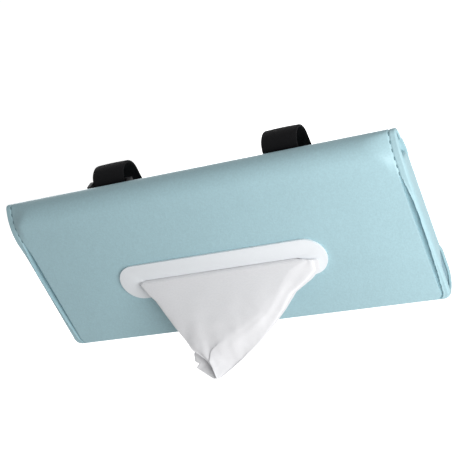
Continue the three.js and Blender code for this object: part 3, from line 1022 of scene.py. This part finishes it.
def strap_patch(side, x):
    width, depth, foot, head, near, patch_corner = 28, 1.3, 38, 62, 13.5, 2.5
    middle = spot(x, near + depth / 2, (foot + head) / 2)
    patch = block(f"{side}_strap_patch", width, depth, head - foot, middle)
    bpy.ops.object.mode_set(mode="EDIT")
    bpy.ops.mesh.select_all(action="DESELECT")
    bpy.ops.object.mode_set(mode="OBJECT")
    for edge in patch.data.edges:
        first, second = (patch.data.vertices[index].co for index in edge.vertices)
        edge.select = abs(first.y - second.y) > 0.5 * depth * mm
    bpy.ops.object.mode_set(mode="EDIT")
    bpy.ops.mesh.select_mode(type="EDGE")
    bpy.ops.mesh.bevel(offset=patch_corner * mm, segments=6)
    bpy.ops.mesh.select_mode(type="VERT")
    bpy.ops.object.mode_set(mode="OBJECT")
    bevelled(patch, 0.35, segments=3, degrees=50)
    smooth(patch, 40)
    belongs(patch, leather, "imitation_leather", "case", f"{side}_strap_anchor")
    inset, far = 2, near + depth
    stitches = []
    for seam in (x - width / 2 + inset, x + width / 2 - inset):
        stitches += along_line(spot(seam, far, foot + inset), spot(seam, far, head - inset), backwards)
    sewn_row(f"{side}_patch_stitches", stitches, "case")


strap_patch("left", -strap_x)
strap_patch("right", strap_x)

# The sliders: black moulded frames that set each strap's length. The webbing passes behind the
# front bar and through the frame. The left one has slipped up and leans a little.
slider_black = (0.016, 0.016, 0.017)


def black_plastic_material():
    material, nodes, links, shader = new_material("black_moulded_plastic")
    place = nodes.new("ShaderNodeTexCoord").outputs["Object"]
    sparks = noise(nodes, links, place, 1800, 3)
    brighter = [channel * 1.6 for channel in slider_black]
    links.new(graded(nodes, links, sparks, slider_black, brighter), shader.inputs["Base Color"])
    links.new(graded(nodes, links, sparks, (0.5,) * 3, (0.62,) * 3), shader.inputs["Roughness"])
    shader.inputs["Specular IOR Level"].default_value = 0.3
    bumped(nodes, links, shader, sparks, 0.03, 0.4)
    return material


black_plastic = black_plastic_material()


def slider(side, x, z, tilt_degrees):
    width, height, bar = 27, 8, 2.2
    near, far, front_bar = -1.3, 4.0, 1.0
    frame_depth = 1.2
    post_x = (width - bar) / 2
    rail_width = width - 1
    frame_y = far - frame_depth / 2

    def part(name, part_width, depth, part_height, off_x, y, off_z):
        return block(name, part_width, depth, part_height, Vector((off_x, y, off_z)) * mm)

    piece = part(f"{side}_slider", bar, far - near, height, -post_x, (far + near) / 2, 0)
    join_with(piece, part("post", bar, far - near, height, post_x, (far + near) / 2, 0))
    rail_z = (height - bar) / 2
    for off_z in (-rail_z, rail_z):
        join_with(piece, part("rail", rail_width, frame_depth, bar, 0, frame_y, off_z))
    join_with(piece, part("front_bar", rail_width, front_bar, bar, 0, near + front_bar / 2, 0))
    bevelled(piece, 0.3, segments=3, degrees=50)
    piece.rotation_euler = (0, math.radians(tilt_degrees), 0)
    piece.location = spot(x, strap_face, z)
    bpy.ops.object.transform_apply(location=True, rotation=True, scale=True)
    smooth(piece, 40)
    belongs(piece, black_plastic, "black_plastic", f"{side}_slider", f"{side}_strap_slider")


slider("left", -strap_x, z=93.9, tilt_degrees=3)
slider("right", strap_x, z=83, tilt_degrees=0)

# The pack of tissues: one long web of soft paper, folded to and fro into a flat pack. It lies
# loose between the linings and rests on the flap at the foot.
paper_white = (0.86, 0.86, 0.88)


def tissue_material(width, length):
    """Soft tissue: a crepe of fine ridges across the sheet and loose fibres, on the sheet's map."""
    material, nodes, links, shader = new_material("soft_white_tissue")
    place = nodes.new("ShaderNodeUVMap").outputs["UV"]
    spread = nodes.new("ShaderNodeMapping")
    spread.inputs["Scale"].default_value = (width, length, 1)
    links.new(place, spread.inputs["Vector"])
    crepe = nodes.new("ShaderNodeTexWave")
    crepe.bands_direction = "Y"
    crepe.inputs["Scale"].default_value = 0.5
    crepe.inputs["Distortion"].default_value = 3
    crepe.inputs["Detail"].default_value = 3
    links.new(spread.outputs["Vector"], crepe.inputs["Vector"])
    fibres = noise(nodes, links, spread.outputs["Vector"], 1.4, 5)
    both = math_node(nodes, links, "MULTIPLY_ADD", crepe.outputs["Fac"], 0.4)
    links.new(math_node(nodes, links, "MULTIPLY", fibres, 0.6), both.node.inputs[2])
    dark = [channel * 0.96 for channel in paper_white]
    links.new(graded(nodes, links, fibres, dark, paper_white), shader.inputs["Base Color"])
    bumped(nodes, links, shader, both, 0.06, 0.35)
    shader.inputs["Roughness"].default_value = 0.95
    shader.inputs["Sheen Weight"].default_value = 0.2
    return material


def tissue_pack():
    half, foot, head, front, back = 97.5, 4.4, 83.6, 4.05, 10.5
    layers, thickness, turn_bulge = 16, 0.2, 0.2
    ripple, sway = 0.05, 0.15
    pitch = (back - front) / (layers - 1)
    path = []
    for layer in range(layers):
        y = front + pitch * layer
        ends = (foot, head) if layer % 2 == 0 else (head, foot)
        path += list(straight((y, ends[0]), (y, ends[1]), 8)) + [(y, ends[1])]
        if layer < layers - 1:
            bulge = turn_bulge if ends[1] == head else -turn_bulge
            path.append((y + pitch / 2, ends[1] + bulge))
    columns = 30

    def place(column, row):
        y, z = path[row]
        x = half * (2 * column / columns - 1)
        wave = ripple * math.sin(x / 9 + z / 7)
        return spot(x, y + wave, z + sway * math.sin(x / 23 + y))

    pack = grid_piece("folded_tissues", columns, len(path) - 1, place)
    finish_with(pack, "SOLIDIFY", thickness=thickness * mm, offset=0)
    smooth(pack, 60)
    length = sum(math.dist(here, there) for here, there in zip(path, path[1:]))
    belongs(pack, tissue_material(2 * half, length), "tissue_paper", "case", "tissue_stack")


tissue_pack()

# The drawn tissue: the end of the top sheet, pulled out through the slot and let go. It hangs
# doubled in a flat tuft with a pinched tip. Its front is broad and nearly flat. Along a slanting
# crease its right part turns down and back into a fold, and its back layer peeps out at the left.
neck_z = 40.5
neck_start = 3.6
neck_end = -2.2
tuft_bend_radius = 1.8
tuft_droop = math.radians(53.5)
tuft_length = 57

# Each line of the tuft has (run, place) points: how far down it, and how far across or back.
tuft_left = ((-9, -48.4), (-2, -49), (0, -50.5), (6, -46.3), (10, -42.4), (25, -33.2),
             (40, -23.6), (46, -16.4), (51, -12.8), (57, -11))
tuft_crease = ((-9, 43), (-2, 44), (0, 49), (4, 39.5), (14, 30.5), (25, 21.5),
               (31, 11.5), (42, -8.5), (47, -13), (57, -10.8))
tuft_right = ((-9, 45.2), (-2.5, 45.8), (-1, 51), (0.5, 54.5), (5.5, 54), (10, 49),
              (15.5, 39.8), (24, 32.8), (31, 25.6), (41, 13.4), (47, 5), (56, -8), (57, -9.5))
tuft_right_depth = ((-9, 0.6), (0, 0.8), (5, 2.6), (14, 2.4), (25, 2.7),
                    (31, 3.3), (41, 5), (48, 5), (53, 3), (57, 1.2))
tuft_under = ((-9, -47), (0, -47), (10, -40), (30, -27.5), (38, -23), (42.2, -25.2),
              (46.8, -25), (47.6, -22.3), (50, -24.1), (51.5, -22), (57, -13.4))
tuft_under_depth = ((-9, 1.6), (0, 1.7), (12, 3.5), (30, 4.5), (45, 3.5), (57, 1.4))


def value_at(line, run):
    """The value of a line of (run, value) points at a run."""
    for (first, value), (last, next_value) in zip(line, line[1:]):
        if run <= last:
            share = (run - first) / (last - first)
            return value + (next_value - value) * share
    return line[-1][1]


def tuft_section(run):
    """The section at a run, as (x, depth behind the front), from the left hem round to the back."""
    edges = (tuft_left, tuft_crease, tuft_right, tuft_under)
    left, crease, right, under = (value_at(line, run) for line in edges)
    right_depth = value_at(tuft_right_depth, run)
    under_depth = value_at(tuft_under_depth, run)
    crease = max(crease, left + 0.3)
    full_width = 25
    fine = min(1, (right - left) / full_width)
    softness = min(4 * fine, 0.25 * (crease - left))
    belly = -1.2 * math.sin(math.pi * min(1, max(0, run / tuft_length))) ** 2
    front, side = crease - left, right - crease
    hem = ((left + 4 * fine, 1.5 * fine), (left + 1.1 * fine, 1.15 * fine), (left, 0.6 * fine),
           (left + 0.9 * fine, 0.05))
    face = ((left + front * 0.3, belly), (left + front * 0.65, belly), (crease - softness, 0.5 * belly))
    fold = ((crease + side * 0.15, 0.15 * right_depth), (crease + side * 0.55, 0.55 * right_depth),
            (right - 1.2 * fine, right_depth - 0.5 * fine), (right, right_depth + 0.2 * fine),
            (right - 1.3 * fine, right_depth + 1.1 * fine))
    back = (((right + under) / 2, 0.5 * (right_depth + under_depth) + 1.6 * fine),
            (under + 3 * fine, under_depth), (under, under_depth))
    return hem + face + fold + back


def smooth_between(points, share):
    """A place on a smooth line through points, at a share of the way along it."""
    reach = share * (len(points) - 1)
    index = min(int(reach), len(points) - 2)
    t = reach - index
    last = len(points) - 1
    before, here, there, after = (points[min(last, max(0, index + step))] for step in (-1, 0, 1, 2))
    return tuple(b + 0.5 * t * (c - a + t * (2 * a - 5 * b + 4 * c - d + t * (3 * (b - c) + d - a)))
                 for a, b, c, d in zip(before, here, there, after))


def tuft_spine(run):
    """The tuft's front line at a run: out of the slot, round a bend, then down and forwards."""
    bend = tuft_bend_radius * tuft_droop
    if run <= -bend:
        return neck_end - (run + bend), neck_z, 0
    turn = min(tuft_droop, (run + bend) / tuft_bend_radius)
    down = max(0, run)
    return (neck_end - tuft_bend_radius * math.sin(turn) - down * math.cos(tuft_droop),
            neck_z - tuft_bend_radius * (1 - math.cos(turn)) - down * math.sin(tuft_droop), turn)


def crumple(x, run, across):
    """Small creases that run towards the tip, with finer crumpling near it."""
    share = min(1, max(0, run / tuft_length))
    rays = 0.3 * math.sin(19 * across + 0.05 * run) + 0.16 * math.sin(47 * across - 0.08 * run + 1)
    broad = relief.noise(Vector((x / 9, run / 13, across * 3)))
    fine = relief.noise(Vector((x / 3.5, run / 4, 5)))
    return share**0.5 * (rays + 0.7 * (broad + 0.4 * fine) * (0.5 + share))


def drawn_tissue():
    columns, rows = 98, 84
    sheet_width, calm_length, least_crumple = 195, 12, 0.3
    neck = neck_start - neck_end + tuft_bend_radius * tuft_droop

    def place(column, row):
        across = column / columns
        run = (tuft_length + neck) * row / rows - neck
        x, depth = smooth_between(tuft_section(run), across)
        left_to_tip = max(0, tuft_length - run)
        depth += crumple(x, run, across) * min(1, left_to_tip / calm_length + least_crumple)
        y, z, turn = tuft_spine(run)
        return spot(x, y + depth * math.sin(turn), z - depth * math.cos(turn))

    tuft = grid_piece("drawn_tissue_tuft", columns, rows, place)
    finish_with(tuft, "SOLIDIFY", thickness=0.16 * mm, offset=0)
    smooth(tuft, 60)
    finish = tissue_material(sheet_width, tuft_length)
    belongs(tuft, finish, "tissue_paper", "top_tissue", "drawn_tissue")


drawn_tissue()
